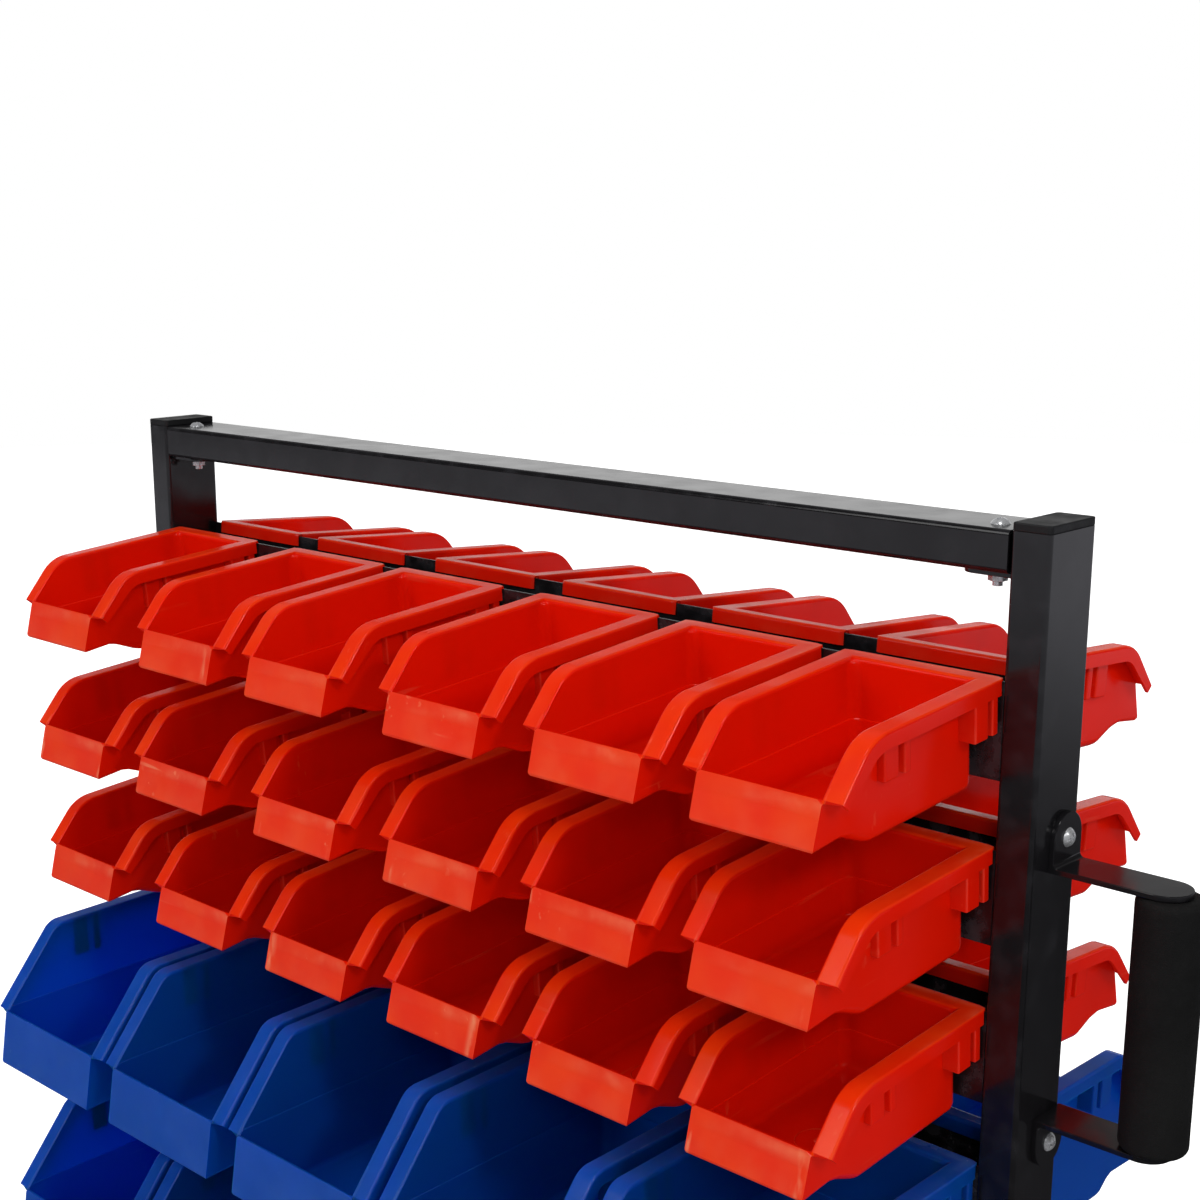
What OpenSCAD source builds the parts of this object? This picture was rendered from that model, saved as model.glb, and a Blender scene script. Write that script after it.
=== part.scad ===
// Mobile double-sided parts bin rack: posts, rails, hung bins, side handle and castors.
// Millimetres. +X runs along the rack to the handle, -Y is the front, +Z is up, the floor is z = 0.

/* [Frame] */
// outer width over the two posts
rack_w = 860; // [850:5:960]
// height of the tube tops above the floor
post_top = 1000; // [995:5:1100]
// deep side of the rectangular tube
tube_d = 50; // [50:1:60]
// narrow side of the rectangular tube
tube_w = 25; // [24:1:28]
// wall of the tube
tube_t = 2; // [1.5:0.1:2.5]
// outer corner radius of the tube
tube_r = 3; // [2.6:0.1:4]
// thickness of the plug rim on an open tube end
cap_h = 5; // [3:0.5:8]
// depth of the plug inside the tube
plug_h = 12; // [8:1:20]
// gap between a plug and the tube wall
plug_gap = 0.15; // [0.1:0.05:0.3]
// gap between each top rail end and its post
rail_end_gap = 1.5; // [0.5:0.1:3]
// length of the welded tab under a top rail end
tab_l = 36; // [32:1:60]
// width of that tab
tab_w = 40; // [30:1:46]
// thickness of that tab
tab_t = 3; // [2:0.5:5]
// distance of the top rail bolt from the post
top_bolt_x = 18; // [12:1:24]
// place of the top rail bolt across the rail
top_bolt_y = -6; // [-8:1:8]
// height of the lower cross rail above the feet
cross_z = 4; // [2:1:20]
// length of each foot
foot_l = 500; // [500:10:600]

/* [Screws] */
// shank radius of the frame screws
screw_r = 3; // [2.5:0.1:3.2]
// gap around a screw in its hole
screw_gap = 0.2; // [0.1:0.05:0.4]
// head radius of a dome screw
dome_r = 6; // [5:0.1:7]
// head height of a dome screw
dome_h = 3.6; // [2.5:0.1:4]
// length of the cross recess in a dome head
recess_l = 6.6; // [5:0.1:8]
// width of that recess
recess_w = 1.7; // [1.2:0.1:2.2]
// height of the recess floor above the head's seat
recess_z = 1.6; // [1:0.1:2]
// width across the flats of a hex head or nut
hex_af = 10; // [9:0.1:11]
// height of a hex head or nut
hex_h = 5; // [4:0.1:6]
// free thread past a nut
thread_out = 3; // [2:0.5:5]

/* [Rails and rows] */
// outer width of a bin rail
rail_w = 46; // [44:1:48]
// height of a bin rail
rail_h = 59; // [54:1:64]
// sheet thickness of a bin rail
rail_t = 1.5; // [1.2:0.1:2]
// thickness of the rail's end plate
end_t = 2; // [1.5:0.1:3]
// height of the rail's end plate
end_h = 34; // [28:1:36]
// distance between the two screws of a rail end
end_screw_pitch = 22; // [20:1:26]
// length of a rail end screw past the end plate
end_screw_l = 8; // [5:0.5:12]
// drop from the post top to the first row's rim
first_drop = 85; // [85:1:110]
// distance between rows of small bins
small_pitch = 101; // [98:1:104]
// distance between rows of large bins
large_pitch = 156; // [145:1:160]
// least gap between the lower cross rail and the lowest bin rail
row_gap = 5; // [4:0.5:10]
// gap between a bin at the end of a row and the post
side_gap = 1; // [1:0.5:3]

/* [Bin walls] */
// wall of a bin
wall = 2; // [1.6:0.1:2.4]
// thickness of the rim flange
flange_t = 2; // [1.6:0.1:2.4]
// thickness of the rim's turned-down skirt
skirt_t = 1.6; // [1.2:0.1:2]
// depth of the skirt below the rim
skirt_h = 10; // [8:0.5:12]
// depth of the skirt at the scoop's tip
skirt_tip_h = 7.5; // [6:0.5:9]
// gap between a bin's rear skirt and the rail
hook_gap = 0.5; // [0.4:0.1:1]
// width of the lugs under the flange, along the rim
lug_w = 13.5; // [9:0.5:15]
// depth of the lugs below the rim
lug_h = 33; // [26:1:36]
// distance from the rim's bend back to the front lug
lug_back = 7.5; // [5:0.5:10]
// width of the ribs behind the front lug and beside the rail
rib_t = 6; // [4:0.5:8]
// space between the front lug and the rib behind it
rib_space = 5.5; // [4:0.5:8]
// width of the two rests on a bin's back
rest_w = 7; // [5:0.5:9]
// depth of those rests below the rim
rest_h = 40; // [36:1:44]
// corner radius of the rim seen from above
rim_corner_r = 5; // [4:0.5:8]
// radius of a bin's upright back corners
back_r = 9; // [6:0.5:12]
// radius of a bin's lower back edge
heel_r = 8; // [5:0.5:12]
// step from the scoop's tip out to the front panel
panel_step = 1.5; // [1:0.1:2]
// share of the rise's length at which it turns flatter
belly_turn = 0.72; // [0.65:0.01:0.8]
// share of the rise's height that is reached there
belly_turn_up = 0.95; // [0.85:0.01:1]
// step of the crease along a bin's inner walls
crease_step = 0.6; // [0.3:0.1:0.8]

/* [Small bins] */
// width over the rim
small_w = 110; // [104:1:112]
// width of the body
small_body_w = 85.5; // [80:0.5:88]
// depth from rim to lowest point
small_h = 67; // [62:1:70]
// rim length from the rear edge to the bend
small_bend = 130; // [126:1:134]
// radius of the rim's bend
small_bend_r = 30; // [20:1:40]
// downward angle of the scoop edge
small_slant = 45.5; // [42:0.5:48]
// length of the scoop edge from the bend to the tip
small_slant_l = 40; // [38:0.5:44]
// distance from the rear edge to the foot of the front panel
small_nose_l = 169; // [166:1:174]
// depth of the foot of the front panel
small_nose_h = 56.5; // [54:0.5:58]
// distance from the rear edge to the end of the belly
small_belly_l = 117; // [110:1:124]
// length of the rise from the belly to the nose
small_rise_l = 31; // [26:1:34]
// depth of the crease along the inner walls
small_crease_h = 38; // [34:1:42]
// how far the front lug and its rib stand out from the body
small_lug = 5; // [4:0.5:8]
// forward droop of a hung bin
small_droop = 4.5; // [3:0.1:5]

/* [Large bins] */
// width over the rim
large_w = 150; // [140:1:152]
// width of the body
large_body_w = 125; // [118:0.5:127]
// depth from rim to lowest point
large_h = 115; // [110:1:120]
// rim length from the rear edge to the bend
large_bend = 169; // [164:1:174]
// radius of the rim's bend
large_bend_r = 16; // [14:1:30]
// downward angle of the scoop edge
large_slant = 49.5; // [46:0.5:52]
// length of the scoop edge from the bend to the tip
large_slant_l = 79; // [74:0.5:82]
// distance from the rear edge to the foot of the front panel
large_nose_l = 230; // [227:1:236]
// depth of the foot of the front panel
large_nose_h = 104; // [100:0.5:107]
// distance from the rear edge to the end of the belly
large_belly_l = 173; // [160:1:186]
// length of the rise from the belly to the nose
belly_rise_l = 20; // [16:1:22]
// forward droop of a hung bin
large_droop = 1; // [0.5:0.1:2]
// depth of the crease along the inner walls
crease_h = 57; // [50:1:60]
// how far the front lug and its rib stand out from the body
large_lug = 11.5; // [8:0.5:12]

/* [Handle] */
// drop from the post top to the middle of the grip
handle_drop = 278; // [270:1:320]
// length between the two bracket arms
grip_l = 156; // [140:1:180]
// radius of the foam grip
grip_r = 20; // [16:0.5:22]
// gap between each grip end and its bracket arm
grip_end_gap = 0.4; // [0.3:0.1:1]
// radius of the rod in the grip
rod_r = 7; // [6:0.5:9]
// distance from the post face to the grip axis
handle_reach = 69; // [60:1:90]
// distance from the post face to the middle of a bracket arm's round end
arm_l = 65; // [58:1:90]
// width of the bracket strip
strip_w = 31; // [28:1:34]
// thickness of the bracket strip
strip_t = 3.5; // [3:0.5:5]
// inner radius of the strip's bend
strip_bend_r = 3; // [2:0.5:5]
// place of the handle across the post
handle_y = 9; // [0:0.5:10]
// distance from a bracket arm to its post screw
bracket_screw = 19; // [17:0.5:26]
// length of the handle screws under the head
handle_screw_l = 14; // [12:0.5:18]

/* [Castors] */
// wheel diameter
wheel_d = 75; // [70:1:76]
// wheel width
wheel_w = 24; // [20:0.5:26]
// height from the floor to the feet
castor_h = 100; // [100:1:110]
// radius of the wheel hub
hub_r = 25; // [22:0.5:27]
// axle radius
axle_r = 4; // [3:0.5:5]
// width across the flats of the axle's heads
axle_af = 13; // [11:0.5:15]
// height of those heads
axle_head_h = 5; // [4:0.5:6]
// metal around the axle in a fork leg
axle_boss = 6; // [4:0.5:8]
// metal around the pedal's pins in their ears
ear_boss = 4; // [3:0.5:5]
// thickness of the hub's rim and sleeve
hub_rim = 4; // [3:0.5:5]
// radius of the tyre's shoulders
tyre_edge = 4; // [3:0.5:6]
// radial gap of the axle in the hub and of the pins in their ears
run_gap = 0.1; // [0.08:0.01:0.12]
// gap between faces that turn past each other
face_gap = 0.4; // [0.3:0.1:0.6]
// distance from the swivel axis to the axle
trail = 22; // [18:1:26]
// thickness of the fork legs
leg_t = 3; // [2.5:0.5:4]
// gap between the wheel and each fork leg
leg_gap = 2.5; // [2:0.5:4]
// radius of the swivel cups
cup_r = 19; // [18:0.5:22]
// height of the upper cup
cup_h = 7; // [5:0.5:8]
// height of the fork crown
crown_h = 9; // [7:0.5:10]
// radius of the kingpin
king_r = 6; // [5:0.5:7]
// radius of the threaded stem
stem_r = 5; // [4:0.5:6]
// width across the flats of the stem nut
stem_af = 17; // [15:0.5:19]
// height of the stem nut
stem_nut_h = 8; // [6:0.5:10]
// distance from the foot end to the castor
castor_inset = 60; // [60:1:90]
// distance from the axle out to the pedal's axis
pedal_out = 22; // [20:1:23]
// height of the pedal's axis above the axle
pedal_up = 41; // [41:0.5:43]
// length of the brake pedal
pedal_l = 16; // [12:1:16]
// thickness of the brake pedal
pedal_t = 3; // [2:0.5:4]
// radius of the pedal's barrel
barrel_r = 4.5; // [4:0.1:5]
// radius of the pedal's pins
pedal_pin_r = 2.5; // [2:0.1:3]
// depth of the brake shoe below the pedal's axis
shoe_h = 8.8; // [8:0.1:8.9]
// thickness of the brake shoe
shoe_t = 4.5; // [3:0.5:5]
// distance from the pedal's axis to the shoe's outer face
shoe_out = 6; // [5:0.5:6]
// height of the kingpin's riveted head
king_head_h = 3; // [2:0.5:4]
// overlap of that head under the fork crown
king_head_lip = 3; // [2:0.5:4]

/* [Hidden] */
$fn = 64;
over = 1;
inner_w = rack_w - 2 * tube_w;
arm_end_r = strip_w / 2;
leg_in = wheel_w / 2 + leg_gap;
axle_half = leg_in + leg_t;
castor_over = max(axle_half + axle_head_h, cup_r) - tube_w / 2;
handle_over = max(handle_reach + grip_r, arm_l + arm_end_r);
x0 = -(handle_over - castor_over) / 2;
post_x = (rack_w - tube_w) / 2;
foot_top = castor_h + tube_d;
tube_in_d = tube_d - 2 * tube_t;
tube_in_w = tube_w - 2 * tube_t;
tube_in_r = tube_r - tube_t;
hole_r = screw_r + screw_gap;
rows = [0, 1, 2];
rail_hook = skirt_t + hook_gap + rail_t;
handle_z = post_top - handle_drop;
wheel_r = wheel_d / 2;
crown_top = castor_h - cup_h - face_gap;
crown_z = crown_top - crown_h;
pedal_y = trail + pedal_out;
pedal_z = wheel_r + pedal_up;
castor_y = foot_l / 2 - castor_inset;

// places of the bins along their rail, from -1 at the left post to 1 at the right post
front_small_places = [
    [-0.98, -0.53, -0.16, 0.26, 0.64, 1],
    [-0.96, -0.57, -0.15, 0.25, 0.63, 1],
    [-0.95, -0.52, -0.13, 0.25, 0.63, 1]];
rear_small_places = [-0.98, -0.6, -0.19, 0.2, 0.6, 0.98];
front_large_places = [
    [-0.91, -0.44, 0.03, 0.51, 1],
    [-0.88, -0.41, 0.06, 0.53, 1],
    [-0.94, -0.47, 0, 0.47, 0.94]];
rear_large_places = [-0.96, -0.48, 0, 0.48, 0.96];

function small_rim(i) = post_top - first_drop - i * small_pitch;
lowest_rim = foot_top + cross_z + tube_w + row_gap + rail_h + flange_t;
large_step = min(large_pitch, (small_rim(len(rows)) - lowest_rim) / (len(rows) - 1));
function large_rim(i) = small_rim(len(rows)) - i * large_step;
function small_x(place) = place * (inner_w / 2 - small_w / 2 - side_gap);
function large_x(place) = place * (inner_w / 2 - large_w / 2 - side_gap);

// a bin's sizes in one list, read by the functions below
small_bin = [small_w, small_body_w, small_h, small_bend, small_bend_r, small_slant, small_slant_l,
    small_nose_l, small_nose_h, small_belly_l, small_droop, small_rise_l, small_crease_h, small_lug];
large_bin = [large_w, large_body_w, large_h, large_bend, large_bend_r, large_slant, large_slant_l,
    large_nose_l, large_nose_h, large_belly_l, large_droop, belly_rise_l, crease_h, large_lug];
function bin_w(b) = b[0];
function body_w(b) = b[1];
function bin_h(b) = b[2];
function bend(b) = b[3];
function bend_r(b) = b[4];
function slant(b) = b[5];
function slant_l(b) = b[6];
function nose_l(b) = b[7];
function nose_h(b) = b[8];
function belly_l(b) = b[9];
function droop(b) = b[10];
function rise_l(b) = b[11];
function crease(b) = b[12];
function lug(b) = b[13];
function flange_w(b) = (bin_w(b) - body_w(b)) / 2;

// outline of a bin seen from the side: first value forward from the rear edge, second up from the rim
function arc(c, r, from, to, n) =
    [for (i = [0:n]) c + r * [cos(from + (to - from) * i / n), sin(from + (to - from) * i / n)]];
function bend_start(b) = bend(b) - bend_r(b) * tan(slant(b) / 2);
function along(b) = [cos(slant(b)), -sin(slant(b))];
function inward(b) = [-sin(slant(b)), -cos(slant(b))];
function tip(b) = [bend(b), 0] + slant_l(b) * along(b);
function rim_line(b, t) = concat(
    arc([bend_start(b), -bend_r(b)], bend_r(b) - t, 90, 90 - slant(b), 5),
    [tip(b) + t * inward(b)]);
function reversed(list) = [for (i = [len(list) - 1:-1:0]) list[i]];
function panel_top(b) = tip(b) + [panel_step, 0];
function lean(b) = atan((nose_l(b) - panel_top(b)[0]) / (nose_h(b) + panel_top(b)[1]));
function panel_in(b) = panel_top(b) - [wall / cos(lean(b)), 0];
function nose_in(b) = [nose_l(b) - wall * (1 + sin(lean(b))) / cos(lean(b)), wall - nose_h(b)];
function heel(b, inset) = arc([flange_w(b) + heel_r, heel_r - bin_h(b)], heel_r - inset, 180, 270, 4);
function belly(b, inset) = [
    [belly_l(b) - inset / 2, inset - bin_h(b)],
    [belly_l(b) + rise_l(b) * belly_turn - inset,
        inset - bin_h(b) + (bin_h(b) - nose_h(b)) * belly_turn_up],
    [belly_l(b) + rise_l(b) - inset, inset - nose_h(b) + panel_step]];

module side_plate(width) {
    rotate([90, 0, -90]) linear_extrude(width, center = true) children();
}

module rear_rounded(width, start, r, reach) {
    mirror([0, 1, 0]) polygon(concat(
        arc([r - width / 2, start + r], r, 180, 270, 4),
        arc([width / 2 - r, start + r], r, 270, 360, 4),
        [[width / 2, reach], [-width / 2, reach]]));
}

module standing(width, start, r, reach, depth) {
    translate([0, 0, -depth]) linear_extrude(depth + over) rear_rounded(width, start, r, reach);
}

// band that follows the rim from the rear edge to the tip, t thick
module rim_band(b, width, t) {
    side_plate(width) polygon(concat(
        [[0, -t], [0, 0]],
        rim_line(b, 0),
        reversed(rim_line(b, t))));
}

// side of the skirt: it narrows towards the tip, and a notch lets the rail's edge through
module side_skirt(b) {
    bend_mid = [bend_start(b), -bend_r(b)];
    notch_end = rail_hook + hook_gap + skirt_h * tan(droop(b));
    side_plate(skirt_t) difference() {
        polygon(concat(
            [[0, -skirt_h], [0, 0]],
            rim_line(b, 0),
            [tip(b) + skirt_tip_h * inward(b)],
            arc(bend_mid, bend_r(b) - skirt_h, 90 - slant(b), 90, 5)));
        translate([skirt_t, -skirt_h - over]) square([notch_end - skirt_t, skirt_h + over - flange_t]);
    }
}

module bin_outside(b) {
    reach = nose_l(b) + over;
    intersection() {
        side_plate(body_w(b)) polygon(concat(
            [[flange_w(b), 0]],
            heel(b, 0),
            belly(b, 0),
            [[nose_l(b), -nose_h(b)], panel_top(b)],
            reversed(rim_line(b, 0))));
        standing(body_w(b), flange_w(b), back_r, reach, bin_h(b) + over);
    }
    // rim flange with its turned-down skirt
    intersection() {
        union() {
            rim_band(b, bin_w(b), flange_t);
            for (s = [-1, 1]) translate([s * (bin_w(b) - skirt_t) / 2, 0, 0]) side_skirt(b);
            translate([-bin_w(b) / 2, -skirt_t, -skirt_h]) cube([bin_w(b), skirt_t, skirt_h]);
        }
        standing(bin_w(b), 0, rim_corner_r, reach, bin_h(b));
    }
}

module bin_inside(b, width, depth) {
    reach = nose_l(b) + over;
    intersection() {
        side_plate(width) polygon(concat(
            [[flange_w(b) + wall, over]],
            heel(b, wall),
            belly(b, wall),
            [nose_in(b), panel_in(b), [panel_in(b)[0], over]]));
        standing(width, flange_w(b) + wall, back_r - wall, reach, depth);
    }
}

// lugs and ribs under the flange, and the two rests on the back
module bin_ribs(b) {
    lug_in = (body_w(b) - wall) / 2;
    rear_out = (bin_w(b) - skirt_t) / 2;
    front_out = min(body_w(b) / 2 + lug(b), rear_out);
    front_lug = bend_start(b) - lug_back - lug_w;
    // start, width and outer face of each
    strips = [
        [rail_hook + hook_gap + (lug_h - flange_t) * tan(droop(b)), rib_t, rear_out],
        [flange_w(b) + back_r / 2, lug_w, rear_out],
        [front_lug - rib_space - rib_t, rib_t, front_out],
        [front_lug, lug_w, front_out]];
    for (s = [-1, 1], strip = strips)
        translate([s > 0 ? lug_in : -strip[2], -strip[0] - strip[1], -lug_h])
            cube([strip[2] - lug_in, strip[1], lug_h - flange_t / 2]);
    rest_d = rail_hook + (rest_h - flange_t) * tan(droop(b));
    for (s = [-1, 1])
        translate([s * (body_w(b) / 2 - back_r) - rest_w / 2, -flange_w(b) - wall / 2, -rest_h])
            cube([rest_w, flange_w(b) + wall / 2 - rest_d, rest_h - flange_t / 2]);
}

module bin(b) {
    difference() {
        union() {
            bin_outside(b);
            bin_ribs(b);
        }
        bin_inside(b, body_w(b) - 2 * wall, bin_h(b) + over);
        bin_inside(b, body_w(b) - 2 * wall + 2 * crease_step, crease(b));
    }
}

// a bin hung on a rail: the flange rests on the rail's front edge and the rests lean on its face
module hung(b, x, rim, front) {
    translate([x0 + x, 0, rim - flange_t]) rotate([0, 0, front ? 0 : 180])
        translate([0, -rail_w / 2, 0]) rotate([droop(b), 0, 0])
            translate([0, rail_hook, flange_t]) bin(b);
}

module small_hung(place, i, front) {
    color("#d8260f") hung(small_bin, small_x(place), small_rim(i), front);
}

module small_row(places, i, front) {
    for (place = places) small_hung(place, i, front);
}

module large_row(places, i, front) {
    color("#1c3f9e") for (place = places)
        hung(large_bin, large_x(place), large_rim(i), front);
}

// rectangular tube parts
module rounded(w, d, r) {
    square([w - 2 * r, d], center = true);
    square([w, d - 2 * r], center = true);
    for (x = [-1, 1], y = [-1, 1]) translate([x * (w / 2 - r), y * (d / 2 - r)]) circle(r);
}

module tube(length) {
    linear_extrude(length) difference() {
        rounded(tube_w, tube_d, tube_r);
        rounded(tube_in_w, tube_in_d, tube_in_r);
    }
}

module cap() {
    linear_extrude(cap_h) rounded(tube_w, tube_d, tube_r);
    translate([0, 0, -plug_h]) linear_extrude(plug_h + over)
        rounded(tube_in_w - 2 * plug_gap, tube_in_d - 2 * plug_gap, tube_in_r - plug_gap / 2);
}

// screw hole from z = 0 down
module hole_down(depth) {
    translate([0, 0, -depth]) cylinder(h = depth + over, r = hole_r);
}

// fasteners, each with its head at z = 0 and its shank pointing down
module dome_screw(length) {
    ball_r = (dome_r * dome_r + dome_h * dome_h) / (2 * dome_h);
    difference() {
        intersection() {
            translate([0, 0, dome_h - ball_r]) sphere(ball_r);
            cylinder(h = dome_h + over, r = dome_r);
        }
        for (a = [0, 90]) rotate([0, 0, a])
            translate([-recess_l / 2, -recess_w / 2, recess_z]) cube([recess_l, recess_w, dome_h]);
    }
    translate([0, 0, -length]) cylinder(h = length + over, r = screw_r);
}

module hex(af, h) {
    linear_extrude(h) polygon([for (a = [30:60:330]) af / sqrt(3) * [cos(a), sin(a)]]);
}

module hex_screw(length) {
    hex(hex_af, hex_h);
    translate([0, 0, -length]) cylinder(h = length + over, r = screw_r);
}

module nut(af, h, r) {
    difference() {
        hex(af, h);
        translate([0, 0, -over]) cylinder(h = h + 2 * over, r = r);
    }
}

// places that several pieces share
module at_rail_screws() {
    rims = concat([for (i = rows) small_rim(i)], [for (i = rows) large_rim(i)]);
    up = end_h / 2 - rail_h - flange_t;
    for (rim = rims, s = [-1, 1], y = [-1, 1])
        translate([x0 + s * (inner_w / 2 - end_t), y * end_screw_pitch / 2, rim + up])
            rotate([0, -s * 90, 0]) children();
}

module at_handle_screws() {
    for (s = [-1, 1])
        translate([x0 + rack_w / 2 + strip_t, handle_y, handle_z + s * (grip_l / 2 + bracket_screw)])
            rotate([0, 90, 0]) children();
}

module at_grip() {
    translate([x0 + rack_w / 2 + handle_reach, handle_y, handle_z]) children();
}

module at_top_bolts() {
    for (s = [-1, 1]) translate([x0 + s * (inner_w / 2 - top_bolt_x), top_bolt_y, post_top]) children();
}

module at_castor(sx, front) {
    translate([x0 + sx * post_x, front ? -castor_y : castor_y, 0]) rotate([0, 0, front ? 0 : 180]) children();
}

module all_castors() {
    for (sx = [-1, 1], front = [true, false]) at_castor(sx, front) children();
}

// frame
module post(s) {
    color("#17181b") difference() {
        translate([x0 + s * post_x, 0, foot_top]) tube(post_top - foot_top);
        at_rail_screws() hole_down(end_screw_l + end_t);
        at_handle_screws() hole_down(handle_screw_l + over);
    }
}

module left_post() {
    post(-1);
}

module right_post() {
    post(1);
}

module tube_caps() {
    color("#101113") {
        for (s = [-1, 1]) translate([x0 + s * post_x, 0, post_top]) cap();
        for (s = [-1, 1], y = [-1, 1])
            translate([x0 + s * post_x, y * foot_l / 2, castor_h + tube_d / 2]) rotate([-y * 90, 0, 0]) cap();
    }
}

module top_rail() {
    length = inner_w - 2 * rail_end_gap;
    color("#17181b") difference() {
        translate([x0 - length / 2, 0, post_top - tube_w / 2]) rotate([0, 90, 0]) tube(length);
        at_top_bolts() hole_down(tube_w + over);
    }
}

module top_rail_tabs() {
    end_r = tab_w / 4;
    color("#17181b") difference() {
        for (s = [-1, 1])
            translate([x0 + s * inner_w / 2, 0, post_top - tube_w - tab_t]) rotate([0, 0, s * 90])
            linear_extrude(tab_t) {
                translate([-tab_w / 2, 0]) square([tab_w, tab_l - end_r]);
                translate([end_r - tab_w / 2, 0]) square([tab_w - 2 * end_r, tab_l]);
                for (y = [-1, 1]) translate([y * (tab_w / 2 - end_r), tab_l - end_r]) circle(end_r);
            }
        at_top_bolts() hole_down(tube_w + tab_t + over);
    }
}

module top_rail_bolts() {
    color("#c9ccd1") at_top_bolts() dome_screw(tube_w + tab_t + hex_h + thread_out);
}

module hex_nuts() {
    color("#b9bcc2") {
        at_top_bolts() translate([0, 0, -tube_w - tab_t - hex_h]) nut(hex_af, hex_h, hole_r);
        all_castors() translate([0, 0, foot_top]) nut(stem_af, stem_nut_h, stem_r + screw_gap);
    }
}

module bin_rail(rim) {
    base = rim - flange_t - rail_h;
    color("#141518") difference() {
        translate([x0 - inner_w / 2, -rail_w / 2, base]) cube([inner_w, rail_w, rail_h]);
        translate([x0 - inner_w / 2 + end_t, rail_t - rail_w / 2, base + rail_t])
            cube([inner_w - 2 * end_t, rail_w - 2 * rail_t, rail_h]);
        translate([x0 - inner_w / 2 - over, rail_t - rail_w / 2, base + end_h])
            cube([inner_w + 2 * over, rail_w - 2 * rail_t, rail_h]);
        at_rail_screws() hole_down(end_t + over);
    }
}

module bin_rail_1() {
    bin_rail(small_rim(0));
}

module bin_rail_2() {
    bin_rail(small_rim(1));
}

module bin_rail_3() {
    bin_rail(small_rim(2));
}

module bin_rail_4() {
    bin_rail(large_rim(0));
}

module bin_rail_5() {
    bin_rail(large_rim(1));
}

module bin_rail_6() {
    bin_rail(large_rim(2));
}

module rail_screws() {
    color("#b9bcc2") at_rail_screws() hex_screw(end_t + end_screw_l);
}

module foot(s) {
    color("#17181b") difference() {
        translate([x0 + s * post_x, foot_l / 2, castor_h + tube_d / 2]) rotate([90, 0, 0]) tube(foot_l);
        all_castors() translate([0, 0, castor_h - over])
            cylinder(h = tube_d + 2 * over, r = stem_r + screw_gap);
    }
}

module left_foot() {
    foot(-1);
}

module right_foot() {
    foot(1);
}

module lower_cross_rail() {
    color("#17181b") translate([x0 - inner_w / 2, 0, foot_top + cross_z + tube_w / 2])
        rotate([0, 90, 0]) tube(inner_w);
}

// handle on the right post
module bracket(s) {
    color("#17181b") difference() {
        translate([x0 + rack_w / 2, handle_y, handle_z + s * grip_l / 2])
            rotate([s > 0 ? 0 : 180, 0, 0]) {
                // arm, with a round end
                linear_extrude(strip_t) {
                    translate([strip_t, -strip_w / 2]) square([arm_l - strip_t, strip_w]);
                    translate([arm_l, 0]) circle(arm_end_r);
                }
                // tab on the post face, with a round end about its screw
                rotate([0, 90, 0]) linear_extrude(strip_t) {
                    translate([-bracket_screw, -strip_w / 2]) square([bracket_screw, strip_w]);
                    translate([-bracket_screw, 0]) circle(arm_end_r);
                }
                // fillet inside the bend
                rotate([90, 0, 0]) linear_extrude(strip_w, center = true) difference() {
                    translate([strip_t - over, strip_t - over]) square(strip_bend_r + over);
                    translate([strip_t + strip_bend_r, strip_t + strip_bend_r]) circle(strip_bend_r);
                }
            }
        at_handle_screws() hole_down(strip_t + over);
    }
}

module upper_handle_bracket() {
    bracket(1);
}

module lower_handle_bracket() {
    bracket(-1);
}

module handle_screws() {
    color("#c9ccd1") at_handle_screws() dome_screw(handle_screw_l);
}

// rod welded between the two arms
module handle_rod() {
    color("#8f9298") at_grip() cylinder(h = grip_l, r = rod_r, center = true);
}

module handle_grip() {
    color("#0d0d0e") at_grip() difference() {
        cylinder(h = grip_l - 2 * grip_end_gap, r = grip_r, center = true);
        cylinder(h = grip_l, r = rod_r + plug_gap, center = true);
    }
}

// castors, each drawn about its swivel axis with the wheel trailing to the front
module castor_stems() {
    color("#a9acb2") all_castors() {
        translate([0, 0, castor_h - cup_h]) cylinder(h = cup_h, r = cup_r);
        translate([0, 0, castor_h - over]) cylinder(h = tube_d + stem_nut_h + thread_out + over, r = stem_r);
        translate([0, 0, crown_z - face_gap]) cylinder(h = castor_h - crown_z, r = king_r);
        translate([0, 0, crown_z - face_gap - king_head_h])
            cylinder(h = king_head_h, r = king_r + king_head_lip);
    }
}

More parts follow.
